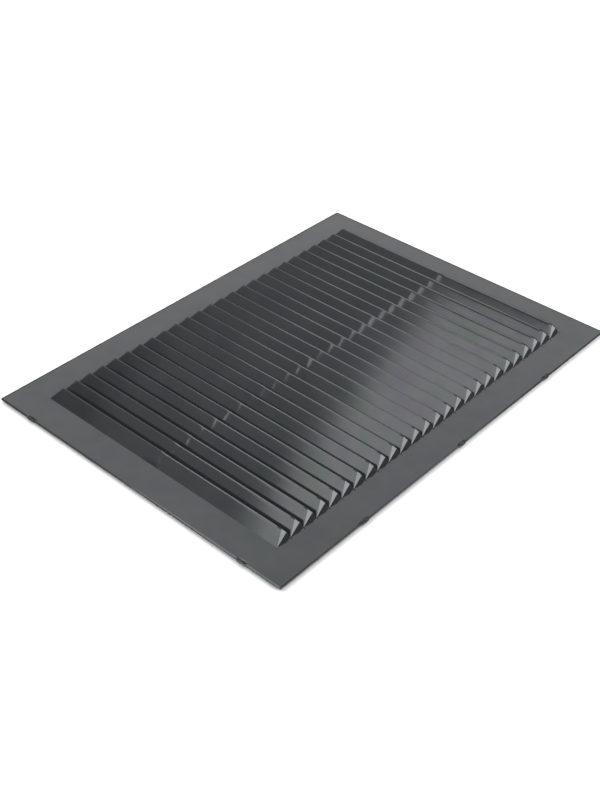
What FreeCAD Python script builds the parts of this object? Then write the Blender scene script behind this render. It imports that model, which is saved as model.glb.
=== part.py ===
"""Louvred air grille: a pressed louvre panel that lifts off a rear frame set back behind it.

Units are millimetres. The origin is the centre of the back plane, which lies against
the wall. +X runs along the long side, across the louvres, from their feet to their lips.
+Y runs along the louvres. +Z points out of the face, away from the wall.
"""
import FreeCAD
import Part
import math
import os

from FreeCAD import Vector

# Overall size of the panel
length = 400.0
width = 300.0
corner_radius = 2.0

# Panel sheet and louvres
sheet = 0.8
end_flange = 26.5
side_flange = 28.0
louvre_count = 26
louvre_angle = 45.0
louvre_slit = 0.35
louvre_end_length = 8.5
louvre_end_facets = 3

# Centre stay under the louvres
stay_thickness = 1.5
stay_tooth_reach = 10.0
stay_screen_gap = 0.25

# Ears on two edges of the panel, each with a slot for a tab of the rear frame
ear_pitch = 113.0
ear_length = 8.0
ear_height = 0.9
slot_length = 5.6
slot_width = 1.4
slot_edge_gap = 0.6
slot_clearance = 0.4
tab_drop = 0.5

# Rear frame, set back under the panel and turned up along its outer edge
rail_thickness = 1.2
frame_setback = 5.0
opening_margin = 2.0
seat_clearance = 0.1

# Wall screws
wall_hole_radius = 2.25
wall_hole_spacing_y = 120.0

# Insect screen and the strips that clamp it
screen_thickness = 0.4
screen_lap = 7.5
mesh_pitch = 12.0
mesh_strand = 0.8
mesh_margin = 1.0
clamp_thickness = 0.5
clamp_width = 7.0
clamp_hole_pitch = 80.0
clamp_end_distance = 12.0

# Corner plates
plate_thickness = 0.8
plate_leg = 42.0
plate_kerb_gap = 0.5
plate_screen_gap = 0.8
plate_hole_pitch = 12.0

# Rivets
rivet_radius = 1.2
rivet_head_radius = 2.2
rivet_head_height = 0.35
rivet_hole_clearance = 0.05
head_clearance = 0.25

# Heights, from the wall outwards
screen_z = rail_thickness
clamp_z = screen_z + screen_thickness
clamp_head_z = clamp_z + clamp_thickness
plate_head_z = rail_thickness + plate_thickness
under_sheet_z = max(clamp_head_z, plate_head_z) + rivet_head_height + head_clearance
face_z = under_sheet_z + sheet
stay_z = clamp_z + stay_screen_gap
seat_z = under_sheet_z - seat_clearance
tab_z = face_z - tab_drop

# Louvre field
field_half_x = length / 2 - end_flange
field_half_y = width / 2 - side_flange
louvre_pitch = 2 * field_half_x / louvre_count
louvre_strip = louvre_pitch - louvre_slit
louvre_rise = louvre_strip * math.sin(math.radians(louvre_angle))
louvre_foot_z = face_z - sheet / math.cos(math.radians(louvre_angle))
tooth_run = stay_tooth_reach * math.cos(math.radians(louvre_angle))
tooth_rise = stay_tooth_reach * math.sin(math.radians(louvre_angle))

# Rear frame outline, opening, screen and clamps
frame_half_x = length / 2 - frame_setback
frame_half_y = width / 2 - frame_setback
opening_half_x = field_half_x + opening_margin
opening_half_y = field_half_y + opening_margin
screen_half_x = opening_half_x + screen_lap
screen_half_y = opening_half_y + screen_lap
clamp_inner_x = screen_half_x - clamp_width
clamp_inner_y = screen_half_y - clamp_width
rivet_hole_radius = rivet_radius + rivet_hole_clearance

# Corner plates: outer corner, inner edges and the rivet lines
plate_outer_x = frame_half_x - rail_thickness - plate_kerb_gap
plate_outer_y = frame_half_y - rail_thickness - plate_kerb_gap
plate_inner_x = screen_half_x + plate_screen_gap
plate_inner_y = screen_half_y + plate_screen_gap
plate_line_x = (plate_inner_x + plate_outer_x) / 2
plate_line_y = (plate_inner_y + plate_outer_y) / 2


def block(x0, x1, y0, y1, z0, z1):
    """Box between two corners."""
    return Part.makeBox(x1 - x0, y1 - y0, z1 - z0, Vector(x0, y0, z0))


def disc(x, y, z0, z1, radius):
    """Upright cylinder."""
    return Part.makeCylinder(radius, z1 - z0, Vector(x, y, z0))


def rounded_block(half_x, half_y, z0, z1, radius):
    """Box centred on the origin, with its four upright edges rounded."""
    box = block(-half_x, half_x, -half_y, half_y, z0, z1)
    upright = [edge for edge in box.Edges if abs(edge.BoundBox.ZLength - (z1 - z0)) < 1e-6]
    return box.makeFillet(radius, upright)


def spaced(half_span, pitch):
    """Places from -half_span to half_span, at most one pitch apart."""
    gaps = max(1, math.ceil(2 * half_span / pitch))
    return [-half_span + 2 * half_span * i / gaps for i in range(gaps + 1)]


def ear_places():
    """Each ear's middle on the left or front edge, and the direction out of that edge."""
    places = [(Vector(-length / 2, y, 0), Vector(-1, 0, 0)) for y in (-ear_pitch, ear_pitch)]
    places += [(Vector(x, -width / 2, 0), Vector(0, -1, 0)) for x in (-ear_pitch, 0, ear_pitch)]
    return places


def beside(place, outward, half_along, v0, v1, z0, z1):
    """Box beside an edge: centred on a place along the edge, from v0 to v1 out of it."""
    along = Vector(outward.y, outward.x, 0) * half_along
    a = place - along + outward * v0
    b = place + along + outward * v1
    return block(min(a.x, b.x), max(a.x, b.x), min(a.y, b.y), max(a.y, b.y), z0, z1)


def ear(place, outward):
    """Low round bulge on the edge of the panel."""
    radius = (ear_length ** 2 / 4 + ear_height ** 2) / (2 * ear_height)
    centre = place + outward * (ear_height - radius)
    round_part = disc(centre.x, centre.y, under_sheet_z, face_z, radius)
    return round_part.common(beside(place, outward, ear_length, 0, ear_length, under_sheet_z, face_z))


def slot(place, outward):
    """Round-ended slot just inside the edge of the panel."""
    straight = (slot_length - slot_width) / 2
    shape = beside(place, outward, straight, -slot_edge_gap - slot_width, -slot_edge_gap, 0, face_z + 1)
    along = Vector(outward.y, outward.x, 0) * straight
    middle = place - outward * (slot_edge_gap + slot_width / 2)
    tips = [middle - along, middle + along]
    return shape.fuse([disc(tip.x, tip.y, 0, face_z + 1, slot_width / 2) for tip in tips])


def tab(place, outward):
    """Tongue out from the rear frame, turned up into the slot."""
    half = slot_length / 2 - slot_clearance
    outer = -slot_edge_gap - slot_clearance
    inner = -slot_edge_gap - slot_width + slot_clearance
    tongue = beside(place, outward, half, -frame_setback - rail_thickness, outer, 0, rail_thickness)
    return tongue.fuse(beside(place, outward, half, inner, outer, 0, tab_z))


def clamp_rivet_places():
    """Rivets along the four clamp strips, each on its strip's centre line."""
    line_x = screen_half_x - clamp_width / 2
    line_y = screen_half_y - clamp_width / 2
    places_x = spaced(clamp_inner_x - clamp_end_distance, clamp_hole_pitch)
    places_y = spaced(screen_half_y - clamp_end_distance, clamp_hole_pitch)
    places = []
    for side in (-1, 1):
        places += [(side * line_x, y) for y in places_y]
        places += [(x, side * line_y) for x in places_x]
    return places


def corner_rivet_places():
    """Four rivets in each corner plate: two into the end rail, two into the side rail."""
    far_x = opening_half_x - plate_hole_pitch / 2
    places = []
    for sx in (-1, 1):
        for sy in (-1, 1):
            places.append((sx * plate_line_x, sy * plate_line_y))
            places.append((sx * plate_line_x, sy * (plate_line_y - 2 * plate_hole_pitch)))
            places.append((sx * far_x, sy * plate_line_y))
            places.append((sx * (far_x - plate_hole_pitch), sy * plate_line_y))
    return places


def wall_hole_places():
    """Wall screw holes, two in each end rail, outside the screen."""
    return [(sx * plate_line_x, sy * wall_hole_spacing_y / 2) for sx in (-1, 1) for sy in (-1, 1)]


def drill(solid, places, radius, z0, z1):
    """Cut round holes through a flat piece."""
    return solid.cut([disc(x, y, z0 - 1, z1 + 1, radius) for x, y in places])


def lip_curve(foot_x, side):
    """Top edge of a louvre's lip, from its slit end at the flange up to its straight part."""
    points = []
    for i in range(louvre_end_facets + 1):
        turn = math.pi / 2 * i / louvre_end_facets
        rise = louvre_rise * math.sin(turn)
        x = foot_x + math.sqrt(louvre_strip ** 2 - rise ** 2)
        y = side * (field_half_y - louvre_end_length * (1 - math.cos(turn)))
        points.append(Vector(x, y, face_z + rise))
    return points


def louvre(foot_x):
    """One louvre: a strip tilted up about its foot, with cone-shaped closed ends."""
    down = Vector(0, 0, louvre_foot_z - face_z)
    near_foot = Vector(foot_x, -field_half_y, face_z)
    far_foot = Vector(foot_x, field_half_y, face_z)
    near_lip = lip_curve(foot_x, -1)
    far_lip = lip_curve(foot_x, 1)
    outline = [near_foot] + near_lip + far_lip[::-1] + [far_foot]
    tops = [[near_foot, near_lip[-1], far_lip[-1], far_foot]]
    for i in range(louvre_end_facets):
        tops.append([near_foot, near_lip[i], near_lip[i + 1]])
        tops.append([far_foot, far_lip[i + 1], far_lip[i]])
    polygons = tops + [[p + down for p in reversed(top)] for top in tops]
    for a, b in zip(outline, outline[1:] + outline[:1]):
        polygons.append([a, a + down, b + down, b])
    faces = [Part.Face(Part.makePolygon(points + points[:1])) for points in polygons]
    return Part.Solid(Part.Shell(faces))


def louvre_panel():
    """Flat sheet with slotted ears on two edges, and the louvres pressed in it."""
    skin = rounded_block(length / 2, width / 2, under_sheet_z, face_z, corner_radius)
    skin = skin.fuse([ear(place, outward) for place, outward in ear_places()])
    field = block(-field_half_x, field_half_x, -field_half_y, field_half_y, 0, face_z + 1)
    skin = skin.cut([field] + [slot(place, outward) for place, outward in ear_places()])
    louvres = [louvre(-field_half_x + louvre_pitch * i) for i in range(louvre_count)]
    return skin.fuse(louvres).removeSplitter()


def centre_stay():
    """Sawtooth strip across the backs of the louvres, welded to each at mid-length."""
    peak = louvre_foot_z + tooth_rise
    end_x = -field_half_x + louvre_pitch * louvre_count - louvre_slit
    profile = [(-field_half_x, stay_z)]
    for i in range(louvre_count):
        foot_x = -field_half_x + louvre_pitch * i
        profile.append((foot_x, louvre_foot_z))
        profile.append((foot_x + tooth_run, peak))
        profile.append((foot_x + tooth_run, louvre_foot_z))
    profile.append((end_x, louvre_foot_z))
    profile.append((end_x, stay_z))
    points = [Vector(x, -stay_thickness / 2, z) for x, z in profile]
    face = Part.Face(Part.makePolygon(points + points[:1]))
    return face.extrude(Vector(0, stay_thickness, 0))


def rail(x0, x1, y0, y1):
    """Frame rail with its kerb, the tabs beside it, rivet holes and wall screw holes."""
    bar = block(x0, x1, y0, y1, 0, rail_thickness)
    kerb = block(x0, x1, y0, y1, 0, seat_z)
    kerb_x = frame_half_x - rail_thickness
    kerb_y = frame_half_y - rail_thickness
    kerb = kerb.cut(block(-kerb_x, kerb_x, -kerb_y, kerb_y, -1, seat_z + 1))
    tabs = []
    for place, outward in ear_places():
        foot = place - outward * (frame_setback + rail_thickness)
        if x0 <= foot.x <= x1 and y0 <= foot.y <= y1:
            tabs.append(tab(place, outward))
    bar = bar.fuse([kerb] + tabs).removeSplitter()
    bar = drill(bar, clamp_rivet_places() + corner_rivet_places(), rivet_hole_radius, 0, rail_thickness)
    return drill(bar, wall_hole_places(), wall_hole_radius, 0, rail_thickness)


def corner_plate(sx, sy):
    """L-shaped plate that joins an end rail to a side rail."""
    across = [sx * (plate_outer_x - plate_leg), sx * plate_outer_x]
    up = [sy * (plate_outer_y - plate_leg), sy * plate_outer_y]
    inner_x = sorted([sx * plate_inner_x, sx * plate_outer_x])
    inner_y = sorted([sy * plate_inner_y, sy * plate_outer_y])
    side_leg = block(min(across), max(across), inner_y[0], inner_y[1], rail_thickness, plate_head_z)
    end_leg = block(inner_x[0], inner_x[1], min(up), max(up), rail_thickness, plate_head_z)
    plate = side_leg.fuse(end_leg).removeSplitter()
    return drill(plate, corner_rivet_places(), rivet_hole_radius, rail_thickness, plate_head_z)


def loop(points, z):
    """Closed flat outline through a list of places."""
    corners = [Vector(x, y, z) for x, y in points]
    return Part.makePolygon(corners + corners[:1])


def rectangle(x, y, half_x, half_y):
    """Corners of a rectangle about a place."""
    turns = [(-1, -1), (1, -1), (1, 1), (-1, 1)]
    return [(x + half_x * sx, y + half_y * sy) for sx, sy in turns]


def insect_screen():
    """Square mesh with a solid border, held between the rails and the clamp strips."""
    cells_x = int(2 * (opening_half_x - mesh_margin) / mesh_pitch)
    cells_y = int(2 * (opening_half_y - mesh_margin) / mesh_pitch)
    reach = (mesh_pitch - mesh_strand) / 2
    wires = [loop(rectangle(0, 0, screen_half_x, screen_half_y), screen_z)]
    for i in range(cells_x):
        for j in range(cells_y):
            x = (i - (cells_x - 1) / 2) * mesh_pitch
            y = (j - (cells_y - 1) / 2) * mesh_pitch
            wires.append(loop(rectangle(x, y, reach, reach), screen_z))
    mesh = Part.makeFace(wires, "Part::FaceMakerCheese").extrude(Vector(0, 0, screen_thickness))
    return drill(mesh, clamp_rivet_places(), rivet_hole_radius, screen_z, clamp_z)


def clamp_strip(x0, x1, y0, y1):
    """Flat strip over the border of the screen."""
    strip = block(x0, x1, y0, y1, clamp_z, clamp_head_z)
    return drill(strip, clamp_rivet_places(), rivet_hole_radius, clamp_z, clamp_head_z)


def rivets(places, head_z):
    """Flat-headed rivets, flush with the back of the frame."""
    group = []
    for x, y in places:
        shank = disc(x, y, 0, head_z, rivet_radius)
        head = disc(x, y, head_z, head_z + rivet_head_height, rivet_head_radius)
        group.append(shank.fuse(head).removeSplitter())
    return Part.makeCompound(group)


parts = {
    "louvre_panel": louvre_panel(),
    "centre_stay": centre_stay(),
    "end_rail_left": rail(-frame_half_x, -opening_half_x, -frame_half_y, frame_half_y),
    "end_rail_right": rail(opening_half_x, frame_half_x, -frame_half_y, frame_half_y),
    "side_rail_front": rail(-opening_half_x, opening_half_x, -frame_half_y, -opening_half_y),
    "side_rail_rear": rail(-opening_half_x, opening_half_x, opening_half_y, frame_half_y),
    "corner_plate_front_left": corner_plate(-1, -1),
    "corner_plate_front_right": corner_plate(1, -1),
    "corner_plate_rear_left": corner_plate(-1, 1),
    "corner_plate_rear_right": corner_plate(1, 1),
    "corner_rivets": rivets(corner_rivet_places(), plate_head_z),
    "insect_screen": insect_screen(),
    "end_clamp_left": clamp_strip(-screen_half_x, -clamp_inner_x, -screen_half_y, screen_half_y),
    "end_clamp_right": clamp_strip(clamp_inner_x, screen_half_x, -screen_half_y, screen_half_y),
    "side_clamp_front": clamp_strip(-clamp_inner_x, clamp_inner_x, -screen_half_y, -clamp_inner_y),
    "side_clamp_rear": clamp_strip(-clamp_inner_x, clamp_inner_x, clamp_inner_y, screen_half_y),
    "clamp_rivets": rivets(clamp_rivet_places(), clamp_head_z),
}

os.makedirs("parts", exist_ok=True)
for name, shape in parts.items():
    shape.exportStep(f"parts/{name}.step")
    state = "valid" if shape.isValid() else "INVALID"
    print(name, len(shape.Solids), "solids", state, round(shape.Volume, 1), "mm3")
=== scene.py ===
"""Louvred air grille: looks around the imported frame.

Units are metres. Values that end in _mm are millimetres, and MM turns them to metres.
"""
import math

import bmesh
import bpy
from mathutils import Matrix, Vector, noise


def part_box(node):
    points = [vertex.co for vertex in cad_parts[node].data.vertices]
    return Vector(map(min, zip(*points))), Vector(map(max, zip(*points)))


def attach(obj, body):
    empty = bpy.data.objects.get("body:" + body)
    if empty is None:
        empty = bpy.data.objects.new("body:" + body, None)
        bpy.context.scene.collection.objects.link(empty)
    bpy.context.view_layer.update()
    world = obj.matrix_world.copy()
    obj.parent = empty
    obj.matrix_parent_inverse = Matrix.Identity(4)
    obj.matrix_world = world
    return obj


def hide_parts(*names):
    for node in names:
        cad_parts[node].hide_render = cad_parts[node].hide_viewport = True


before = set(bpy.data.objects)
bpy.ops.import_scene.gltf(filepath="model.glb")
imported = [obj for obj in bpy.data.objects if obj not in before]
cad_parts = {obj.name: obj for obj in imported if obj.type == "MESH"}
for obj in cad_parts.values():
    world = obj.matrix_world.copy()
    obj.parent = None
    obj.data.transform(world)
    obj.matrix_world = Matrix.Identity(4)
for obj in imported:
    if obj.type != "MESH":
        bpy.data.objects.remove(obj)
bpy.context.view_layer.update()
MM = 0.001


# ---------------------------------------------------------------------------------------
# Rear frame rails. Four strips of matt primed steel, sheared, punched and turned up along
# their outer edges, with small tabs that go up into the panel's slots.
# ---------------------------------------------------------------------------------------
def linear(hex_colour):
    """sRGB hex to a linear colour."""
    channels = [int(hex_colour[i:i + 2], 16) / 255 for i in (1, 3, 5)]
    return [c / 12.92 if c <= 0.04045 else ((c + 0.055) / 1.055) ** 2.4 for c in channels] + [1.0]


def new_material(name):
    """A material with its shader, and the node tree to add to."""
    material = bpy.data.materials.new(name)
    material.use_nodes = True
    tree = material.node_tree
    return material, tree, tree.nodes["Principled BSDF"]


def add_node(tree, kind, settings=None, links=None):
    """Adds a node, sets its properties and inputs, and links its inputs from other sockets."""
    node = tree.nodes.new(kind)
    for name, value in (settings or {}).items():
        if name in node.inputs:
            node.inputs[name].default_value = value
        else:
            setattr(node, name, value)
    for name, socket in (links or {}).items():
        tree.links.new(socket, node.inputs[name])
    return node


def ramp_stops(node, stops):
    """Sets a colour ramp's stops, each a place and a grey or a hex colour."""
    elements = node.color_ramp.elements
    while len(elements) < len(stops):
        elements.new(0.5)
    for element, (place, colour) in zip(elements, stops):
        element.position = place
        element.color = linear(colour) if isinstance(colour, str) else (colour, colour, colour, 1.0)


def coated_metal(name, dark, light, roughness, grain_mm, cloud_mm):
    """Coil coating on metal: a dark film with faint clouds of colour and gloss, and a fine peel."""
    material, tree, shader = new_material(name)
    place = add_node(tree, "ShaderNodeTexCoord").outputs["Object"]
    cloud = add_node(tree, "ShaderNodeTexNoise", {"Scale": 1 / (cloud_mm * MM), "Detail": 3.0},
                     {"Vector": place})
    tint = add_node(tree, "ShaderNodeValToRGB", links={"Fac": cloud.outputs["Fac"]})
    ramp_stops(tint, [(0.3, dark), (0.7, light)])
    tree.links.new(tint.outputs["Color"], shader.inputs["Base Color"])
    film = add_node(tree, "ShaderNodeTexNoise", {"Scale": 1 / (0.6 * cloud_mm * MM), "Detail": 4.0},
                    {"Vector": place})
    film_tint = add_node(tree, "ShaderNodeValToRGB", links={"Fac": film.outputs["Fac"]})
    ramp_stops(film_tint, [(0.36, "#e0efe8"), (0.5, "#f4f6f8"), (0.64, "#e8e6f5")])
    tree.links.new(film_tint.outputs["Color"], shader.inputs["Specular Tint"])
    grain = add_node(tree, "ShaderNodeTexNoise", {"Scale": 1 / (grain_mm * MM), "Detail": 2.0},
                     {"Vector": place})
    gloss = add_node(tree, "ShaderNodeMapRange",
                     {"To Min": roughness - 0.02, "To Max": roughness + 0.02},
                     {"Value": cloud.outputs["Fac"]})
    tree.links.new(gloss.outputs["Result"], shader.inputs["Roughness"])
    bump = add_node(tree, "ShaderNodeBump", {"Strength": 0.25, "Distance": 0.02 * MM},
                    {"Height": grain.outputs["Fac"]})
    tree.links.new(bump.outputs["Normal"], shader.inputs["Normal"])
    shader.inputs["IOR"].default_value = 1.5
    return material


def use_material(obj, material):
    """Gives the whole piece one material."""
    obj.data.materials.clear()
    obj.data.materials.append(material)


rail_coat = coated_metal("matt_primer_coated_steel", "#1c1d1f", "#222325", 0.5, 0.6, 30.0)
for node in ("end_rail_left", "end_rail_right", "side_rail_front", "side_rail_rear"):
    use_material(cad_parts[node], rail_coat)


# ---------------------------------------------------------------------------------------
# Corner plates, clamp strips and the centre stay. Mill-finish aluminium, blanked from
# rolled strip, so the rolling lines run along the strip and the gloss is uneven.
# ---------------------------------------------------------------------------------------
line_length_ratio = 60


def rolled_aluminium(name, colour, roughness, line_mm, along):
    """Bare rolled aluminium: fine parallel rolling lines along one axis."""
    material, tree, shader = new_material(name)
    place = add_node(tree, "ShaderNodeTexCoord").outputs["Object"]
    stretch = Vector((1, 1, 1)) / (line_mm * MM)
    stretch[along] /= line_length_ratio
    mapping = add_node(tree, "ShaderNodeMapping", {"Scale": stretch}, {"Vector": place})
    lines = add_node(tree, "ShaderNodeTexNoise", {"Scale": 1.0, "Detail": 3.0},
                     {"Vector": mapping.outputs["Vector"]})
    shade = add_node(tree, "ShaderNodeValToRGB", links={"Fac": lines.outputs["Fac"]})
    ramp_stops(shade, [(0.25, "#9c9fa1"), (0.75, colour)])
    tree.links.new(shade.outputs["Color"], shader.inputs["Base Color"])
    gloss = add_node(tree, "ShaderNodeMapRange",
                     {"To Min": roughness - 0.06, "To Max": roughness + 0.08},
                     {"Value": lines.outputs["Fac"]})
    tree.links.new(gloss.outputs["Result"], shader.inputs["Roughness"])
    bump = add_node(tree, "ShaderNodeBump", {"Strength": 0.3, "Distance": 0.01 * MM},
                    {"Height": lines.outputs["Fac"]})
    tree.links.new(bump.outputs["Normal"], shader.inputs["Normal"])
    shader.inputs["Metallic"].default_value = 1.0
    return material


plate_metal = rolled_aluminium("mill_finish_aluminium_plate", "#c9cbcc", 0.32, 0.25, 0)
end_strip_metal = rolled_aluminium("mill_finish_aluminium_strip_y", "#c4c6c8", 0.30, 0.2, 1)
side_strip_metal = rolled_aluminium("mill_finish_aluminium_strip_x", "#c4c6c8", 0.30, 0.2, 0)
for side in ("front", "rear"):
    use_material(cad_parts["side_clamp_" + side], side_strip_metal)
    for end in ("left", "right"):
        use_material(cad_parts["corner_plate_" + side + "_" + end], plate_metal)
for end in ("left", "right"):
    use_material(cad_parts["end_clamp_" + end], end_strip_metal)
use_material(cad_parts["centre_stay"], side_strip_metal)

# ---------------------------------------------------------------------------------------
# Rivets of the corner plates and clamp strips. Soft aluminium, cold headed, so the heads
# are bright with a faint random grain.
# ---------------------------------------------------------------------------------------
rivet_metal, tree, shader = new_material("cold_headed_aluminium_rivet")
place = add_node(tree, "ShaderNodeTexCoord").outputs["Object"]
grain = add_node(tree, "ShaderNodeTexNoise", {"Scale": 1 / (0.3 * MM), "Detail": 4.0}, {"Vector": place})
shade = add_node(tree, "ShaderNodeValToRGB", links={"Fac": grain.outputs["Fac"]})
ramp_stops(shade, [(0.3, "#a9abad"), (0.7, "#d2d4d5")])
tree.links.new(shade.outputs["Color"], shader.inputs["Base Color"])
bump = add_node(tree, "ShaderNodeBump", {"Strength": 0.2, "Distance": 0.02 * MM},
                {"Height": grain.outputs["Fac"]})
tree.links.new(bump.outputs["Normal"], shader.inputs["Normal"])
shader.inputs["Metallic"].default_value = 1.0
shader.inputs["Roughness"].default_value = 0.28
for node in ("corner_rivets", "clamp_rivets"):
    use_material(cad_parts[node], rivet_metal)


# ---------------------------------------------------------------------------------------
# Insect screen. Two layers of round black-coated wire in a flat folded hem, cut to lie
# under the clamp strips.
# ---------------------------------------------------------------------------------------
def mesh_object(name, bm, smooth_angle=None):
    """Closes a bmesh into a new object at the origin."""
    mesh = bpy.data.meshes.new(name)
    bm.to_mesh(mesh)
    bm.free()
    if smooth_angle is not None:
        mesh.shade_smooth()
        mesh.set_sharp_from_angle(angle=math.radians(smooth_angle))
    obj = bpy.data.objects.new(name, mesh)
    bpy.context.scene.collection.objects.link(obj)
    return obj


screen_low, screen_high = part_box("insect_screen")
screen_centre = (screen_low + screen_high) / 2
screen_size = screen_high - screen_low
clamp_low, clamp_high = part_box("end_clamp_left")
hem_past_clamp = 0.5 * MM
hem = clamp_high.x - clamp_low.x + hem_past_clamp
wire_pitch = 2.5 * MM
wire_radius = 0.09 * MM
wire_sides = 6

bm = bmesh.new()
border = Matrix.Translation(screen_centre) @ Matrix.Diagonal(screen_size).to_4x4()
bmesh.ops.create_cube(bm, size=1.0, matrix=border)
caps = [face for face in bm.faces if abs(face.normal.z) > 0.5]
bmesh.ops.inset_individual(bm, faces=caps, thickness=hem, use_even_offset=True)
rims = [list(face.edges) for face in caps]
bmesh.ops.delete(bm, geom=caps, context="FACES_ONLY")
bmesh.ops.bridge_loops(bm, edges=rims[0] + rims[1])
for axis in (0, 1):
    other = 1 - axis
    span = screen_size[other] / 2 - hem
    count = int(2 * span / wire_pitch)
    layer = screen_centre.z + (wire_radius if axis else -wire_radius)
    turn = Matrix.Rotation(math.pi / 2, 4, "Y") if axis == 0 else Matrix.Rotation(math.pi / 2, 4, "X")
    for i in range(count):
        spot = Vector((screen_centre.x, screen_centre.y, layer))
        spot[other] += (i - (count - 1) / 2) * wire_pitch
        bmesh.ops.create_cone(bm, segments=wire_sides, radius1=wire_radius, radius2=wire_radius,
                              cap_ends=True, depth=screen_size[axis] - hem,
                              matrix=Matrix.Translation(spot) @ turn)
bmesh.ops.recalc_face_normals(bm, faces=bm.faces)
screen = mesh_object("woven_insect_screen", bm)
screen_coat = coated_metal("black_epoxy_coated_wire", "#141415", "#1d1d1f", 0.5, 0.4, 12.0)
use_material(screen, screen_coat)
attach(screen, "rear_frame")
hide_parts("insect_screen")

# ---------------------------------------------------------------------------------------
# Louvre panel. One flat sheet of thin coil-coated steel: slit across, each strip pushed up
# from behind so that its ends stretch into faceted cones, and low slotted ears on two edges.
# ---------------------------------------------------------------------------------------
louvre_count = 26
louvre_angle = math.radians(45)
louvre_slit = 0.35 * MM
louvre_end = 8.5 * MM
end_folds_mm = [(2.2, 5.2), (5.2, 8.0)]
side_flange = 28.0 * MM
sheet = 0.75 * MM
cad_sheet = 0.8 * MM
corner_radius = 2.0 * MM
ear_pitch = 113.0 * MM
ear_half = 4.0 * MM
ear_height = 0.9 * MM
ear_patch = 6.5 * MM
ear_patch_depth = 3.0 * MM
slot_half = 2.8 * MM
slot_radius = 0.7 * MM
slot_edge_gap = 0.6 * MM

panel_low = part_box("louvre_panel")[0]
stay_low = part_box("centre_stay")[0]
half_x = -panel_low.x - ear_height
half_y = -panel_low.y - ear_height
field_x = -stay_low.x
field_y = half_y - side_flange
face_z = panel_low.z + cad_sheet
pitch = 2 * field_x / louvre_count
strip = pitch - louvre_slit
rise = strip * math.sin(louvre_angle)

lip_bend = 1.4 * MM
lip_bend_blend = 0.8 * MM
dent_width = 2.6 * MM
dent_shift = 1.4 * MM
sway_length = 55 * MM
sway_depth = 0.15 * MM
sway_fade = 15 * MM
crease_y = 88 * MM
crease_width = 2.5 * MM
crease_depth = 0.04 * MM
wave_length_x = 90 * MM
wave_length_y = 70 * MM
wave_depth = 0.10 * MM
wave_fade = 8 * MM
double_distance = 0.002 * MM


def evenly(a, b, count):
    """Places from a to b, both included."""
    return [a + (b - a) * i / count for i in range(count + 1)]


def place_grid(bm, xs, ys, put):
    """A grid with a vertex for each x and y, each moved to where put says."""
    made = bmesh.ops.create_grid(bm, x_segments=len(xs) - 1, y_segments=len(ys) - 1, size=0.5)
    for vert in made["verts"]:
        column = round((vert.co.x + 0.5) * (len(xs) - 1))
        row = round((vert.co.y + 0.5) * (len(ys) - 1))
        vert.co = put(xs[column], ys[row])


# Across the panel: the flange, then each strip's places from its foot to its lip.
strip_places_mm = (0, 1.5, 3.0, 5.0, 7.5, 10.0, 11.5, 11.85, 12.15, 12.5)
strip_places = [place * MM for place in strip_places_mm] + [strip]
columns = evenly(-half_x, -half_x + ear_patch_depth, 2)[:-1]
columns += evenly(-half_x + ear_patch_depth, -field_x, 8)[:-1]
for i in range(louvre_count):
    columns += [-field_x + pitch * i + along for along in strip_places]
columns += evenly(field_x, half_x - ear_patch_depth, 8)[:-1]
columns += evenly(half_x - ear_patch_depth, half_x, 2)

# Along a louvre: how far from its end a station's foot and lip are, and how high the lip is.
second_foot = 3.5 * MM
plain_stations_mm = (14.5, 20.0, 28.0, 38.0, 50.0, 63.0, 76.0, 88.0, 98.0, 106.0, 111.0)
dent_stations_mm = (8.0, 6.4, 5.0, 4.0, 3.2, 2.4, 1.6, 0.8, 0.0)
near_stations = [(0.0, 0.0, 0.0)] + [(0.0, lip * MM, height * MM) for lip, height in end_folds_mm]
near_stations += [(base, louvre_end, rise) for base in (0.0, second_foot, louvre_end)]
near_stations += [(from_end * MM, from_end * MM, rise) for from_end in plain_stations_mm]
for from_middle in dent_stations_mm:
    near_stations.append((field_y - from_middle * MM, field_y - from_middle * MM, rise))
stations = [(base - field_y, lip - field_y, height) for base, lip, height in near_stations]
stations += [(-base, -lip, height) for base, lip, height in reversed(stations[:-1])]
foot_rows = [-field_y] + [base for base, _, _ in stations if abs(base) < field_y] + [field_y]
rows = evenly(-half_y, -half_y + ear_patch_depth, 2)[:-1]
rows += evenly(-half_y + ear_patch_depth, -field_y, 8)[:-1] + foot_rows
rows += evenly(field_y, half_y - ear_patch_depth, 8)[1:-1]
rows += evenly(half_y - ear_patch_depth, half_y, 2)


def flange_point(x, y):
    """A point of the flat sheet outside the louvres, with the slight waves left by pressing."""
    wave = noise.noise(Vector((x / wave_length_x, y / wave_length_y, 3.0)))
    from_edge = min(half_x - abs(x), half_y - abs(y))
    from_field = max(abs(x) - field_x, abs(y) - field_y)
    free = max(0.0, min(1.0, from_edge / wave_fade, from_field / wave_fade))
    crease = math.exp(-((abs(y) - crease_y) / crease_width) ** 2) if x < -field_x else 0.0
    return Vector((x, y, face_z - free * (wave_depth * abs(wave) + crease_depth * crease)))


bm = bmesh.new()
place_grid(bm, columns, rows, flange_point)
field = []
for face in bm.faces:
    middle = face.calc_center_median()
    if abs(middle.x) < field_x and abs(middle.y) < field_y:
        field.append(face)
bmesh.ops.delete(bm, geom=field, context="FACES")

ears = [(Vector((-half_x, y, 0)), Vector((-1, 0, 0))) for y in (-ear_pitch, ear_pitch)]
ears += [(Vector((x, -half_y, 0)), Vector((0, -1, 0))) for x in (-ear_pitch, 0.0, ear_pitch)]


def run_of_edges(bm, verts):
    """New edges from each vertex to the next."""
    return [bm.edges.new(pair) for pair in zip(verts, verts[1:])]


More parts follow.
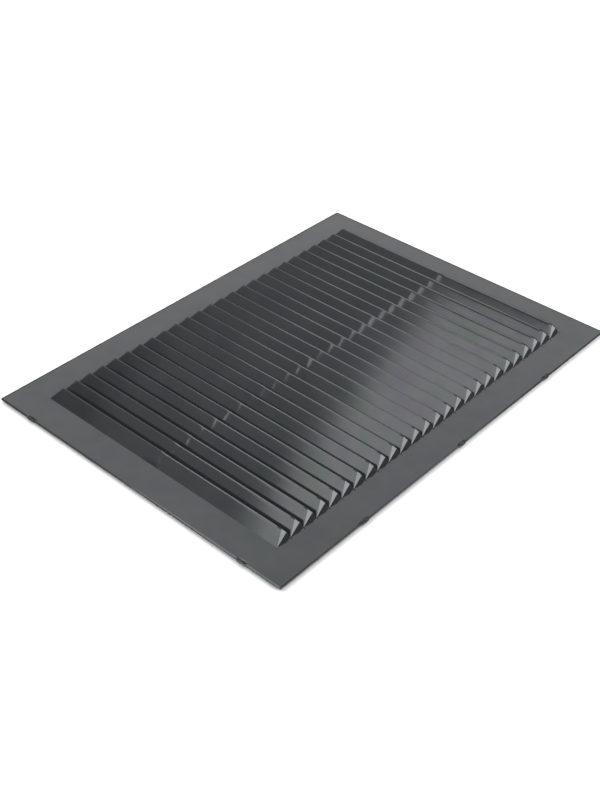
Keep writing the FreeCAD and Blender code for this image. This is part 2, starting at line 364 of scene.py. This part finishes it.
# Each ear: a patch at the edge is taken out, and filled again between its sides, the ear's
# arc and the slot.
ear_radius = (ear_half ** 2 + ear_height ** 2) / (2 * ear_height)
arc_steps = 12
slot_steps = 16
for place, outward in ears:
    along = Vector((outward.y, outward.x, 0))
    patch = []
    for face in bm.faces:
        offset = face.calc_center_median() - place
        if abs(offset.dot(along)) < ear_patch and -ear_patch_depth < offset.dot(outward) <= 0:
            patch.append(face)
    sides = []
    for face in patch:
        for edge in face.edges:
            if len([other for other in edge.link_faces if other not in patch]) == 1:
                sides.append(edge)
    ends = [v for edge in sides for v in edge.verts if abs((v.co - place).dot(outward)) < 1e-7]
    ends.sort(key=lambda v: (v.co - place).dot(along))
    bmesh.ops.delete(bm, geom=patch, context="FACES")
    on_face = place + Vector((0, 0, face_z))
    arc = []
    for offset in evenly(-ear_half, ear_half, arc_steps):
        out = math.sqrt(ear_radius ** 2 - offset ** 2) - ear_radius + ear_height
        arc.append(bm.verts.new(on_face + along * offset + outward * out))
    arc_edges = run_of_edges(bm, [ends[0]] + arc + [ends[-1]])
    slot = []
    for i in range(slot_steps):
        turn = 2 * math.pi * (i + 0.5) / slot_steps
        across = slot_radius * math.sin(turn) - slot_edge_gap - slot_radius
        shift = math.copysign(slot_half - slot_radius, math.cos(turn)) + slot_radius * math.cos(turn)
        slot.append(bm.verts.new(on_face + along * shift + outward * across))
    slot_edges = run_of_edges(bm, slot + slot[:1])
    outline = sides + arc_edges + slot_edges
    bmesh.ops.triangle_fill(bm, edges=outline, use_beauty=True, normal=(0, 0, 1))

corners = [v for v in bm.verts if abs(v.co.x) > half_x - 1e-6 and abs(v.co.y) > half_y - 1e-6]
bmesh.ops.bevel(bm, geom=corners, offset=corner_radius, segments=4, profile=0.5,
                affect="VERTICES", material=-1)


def dent_depth(number, share):
    """How deep louvre number's dent is, at a share of the way from foot to lip."""
    depth = 0.40 + 0.50 * abs(noise.noise(Vector((number * 2.3, 9.0, 0.0))))
    depth += 0.3 * math.exp(-number / 3)
    return depth * (0.8 + 0.7 * noise.noise(Vector((number * 1.3, 2.0 + 3.0 * share, 0.0)))) * MM


def dented(number, share, y, point):
    """A louvre point moved by its strip's sway and by the dent that the stay's weld leaves."""
    sway = noise.noise(Vector((number * 3.7, y / sway_length, 0.0)))
    sway *= share * min(1.0, max(0.0, field_y - abs(y)) / sway_fade)
    shift = dent_shift * noise.noise(Vector((number * 1.9, 5.0 + share, 0.0)))
    offset = (y - shift) / dent_width
    step = 0.5 * (1 + math.tanh(offset)) * math.exp(-max(0.0, offset) / 4)
    lift = sway_depth * sway + min(1.0, 4 * share) * dent_depth(number, share) * step
    return point + Vector((0, 0, lift))


def pressed(number, along, station):
    """Where a point of a strip goes when louvre number is pressed up."""
    base, lip, height = stations[station]
    foot = -field_x + pitch * number
    share = along / strip
    reach = math.sqrt(strip ** 2 - height ** 2)
    point = Vector((foot + share * reach, base + share * (lip - base), face_z + share * height))
    past = max(0.0, along - (strip - lip_bend))
    if past < lip_bend_blend:
        past = past ** 2 / (2 * lip_bend_blend)
    else:
        past -= lip_bend_blend / 2
    point.z -= past * math.sin(louvre_angle) * height / rise
    point.x += past * (1 - math.cos(louvre_angle)) * height / rise
    return dented(number, share, point.y, point)


for number in range(louvre_count):
    place_grid(bm, strip_places, range(len(stations)),
               lambda along, station: pressed(number, along, station))

bmesh.ops.remove_doubles(bm, verts=bm.verts, dist=double_distance)
bmesh.ops.recalc_face_normals(bm, faces=bm.faces)

fold_angle = 20
panel = mesh_object("pressed_louvre_panel", bm, smooth_angle=fold_angle)
thickness = panel.modifiers.new("sheet_thickness", "SOLIDIFY")
thickness.thickness = sheet
thickness.offset = -1
panel_coat = coated_metal("semi_gloss_polyester_coated_steel", "#26282a", "#2c2e30", 0.10, 0.5, 45.0)
use_material(panel, panel_coat)
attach(panel, "panel")
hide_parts("louvre_panel")

# ---------------------------------------------------------------------------------------
# Floor, light and camera. A plain pale floor, and large soft lights whose edges show in
# the louvres: one to the side, one overhead, one low at the front and a far wall.
# ---------------------------------------------------------------------------------------
panel_centre = Vector((0, 0, face_z))
bm = bmesh.new()
floor_half = 6.0
floor_drop = 0.2 * MM
under_frame = Matrix.Translation((0, 0, -floor_drop))
bmesh.ops.create_grid(bm, x_segments=1, y_segments=1, size=floor_half, matrix=under_frame)
floor = mesh_object("floor", bm)
floor_paper, tree, shader = new_material("white_backdrop_paper")
shader.inputs["Base Color"].default_value = linear("#fbfbfb")
shader.inputs["Roughness"].default_value = 0.9
use_material(floor, floor_paper)


def soft_box(name, place, width, height, radiance):
    """A rectangular soft light at a place, turned to the panel, of a given brightness."""
    light = bpy.data.lights.new(name, "AREA")
    light.shape = "RECTANGLE"
    light.size = width
    light.size_y = height
    light.energy = radiance * math.pi * width * height
    lamp = bpy.data.objects.new(name, light)
    lamp.location = place
    lamp.rotation_euler = (panel_centre - place).to_track_quat("-Z", "Y").to_euler()
    bpy.context.scene.collection.objects.link(lamp)
    return lamp


# The tent lights the panel faintly, and looks nearly white itself.
tent_light = 0.32
tent_seen = 0.95
world = bpy.data.worlds.new("tent")
world.use_nodes = True
tree = world.node_tree
background = tree.nodes["Background"]
background.inputs["Color"].default_value = linear("#ffffff")
seen = add_node(tree, "ShaderNodeLightPath").outputs["Is Camera Ray"]
level = add_node(tree, "ShaderNodeMapRange", {"To Min": tent_light, "To Max": tent_seen},
                 {"Value": seen})
tree.links.new(level.outputs["Result"], background.inputs["Strength"])
bpy.context.scene.world = world

wall_way = Vector((0.60, 0.51, 0.62))
wall_distance = 2.0
soft_box("tent_wall", panel_centre + wall_way * wall_distance, 1.8, 1.1, 1.3)

# The side light is a bright and a faint rectangle side by side. Their shared edge lies along
# the louvres in the reflection, and parts the bright strips from the dark ones.
side_distance_mm = 1500
side_way = Vector((-0.641, 0.310, 0.703)).normalized()
side_out = Vector((0.0947, 0.9399, -0.3294)).normalized()
side_along = side_out.cross(side_way)
side_turn = Matrix((side_out, -side_along, side_way)).transposed().to_euler()
side_lights_mm = (("side_box", -736, 264, -500, 270, 3.6),
                  ("side_fill", 264, 640, -400, 450, 0.42))
for name, low, high, start, end, radiance in side_lights_mm:
    place = side_way * side_distance_mm + side_out * (low + high) / 2 + side_along * (start + end) / 2
    lamp = soft_box(name, panel_centre + place * MM, (high - low) * MM, (end - start) * MM, radiance)
    lamp.rotation_euler = side_turn

soft_box("top_box", Vector((0.0, 0.80, 1.5)), 1.3, 0.55, 4.5)
soft_box("key_box", Vector((0.53, -1.28, 0.77)), 1.25, 0.5, 8.0)
soft_box("high_box", Vector((-0.25, -0.66, 1.38)), 1.1, 0.4, 3.6)

focal_length_mm = 55.27
sideways_shift = -25 / 800
camera_distance = 0.9638
camera_azimuth = math.radians(-49.00)
camera_elevation = math.radians(38.11)
camera_roll = math.radians(0.93)
back = Vector((math.sin(camera_azimuth) * math.cos(camera_elevation),
               -math.cos(camera_azimuth) * math.cos(camera_elevation), math.sin(camera_elevation)))
aim = panel_centre + Vector((-29.8, -38.0, 0.0)) * MM
camera = bpy.data.cameras.new("camera")
camera.lens = focal_length_mm
camera.shift_x = sideways_shift
eye = bpy.data.objects.new("camera", camera)
eye.location = aim + back * camera_distance
eye.rotation_mode = "QUATERNION"
roll = Matrix.Rotation(camera_roll, 3, "Z").to_quaternion()
eye.rotation_quaternion = back.to_track_quat("Z", "Y") @ roll
bpy.context.scene.collection.objects.link(eye)
bpy.context.scene.camera = eye
bpy.context.scene.view_settings.view_transform = "Standard"
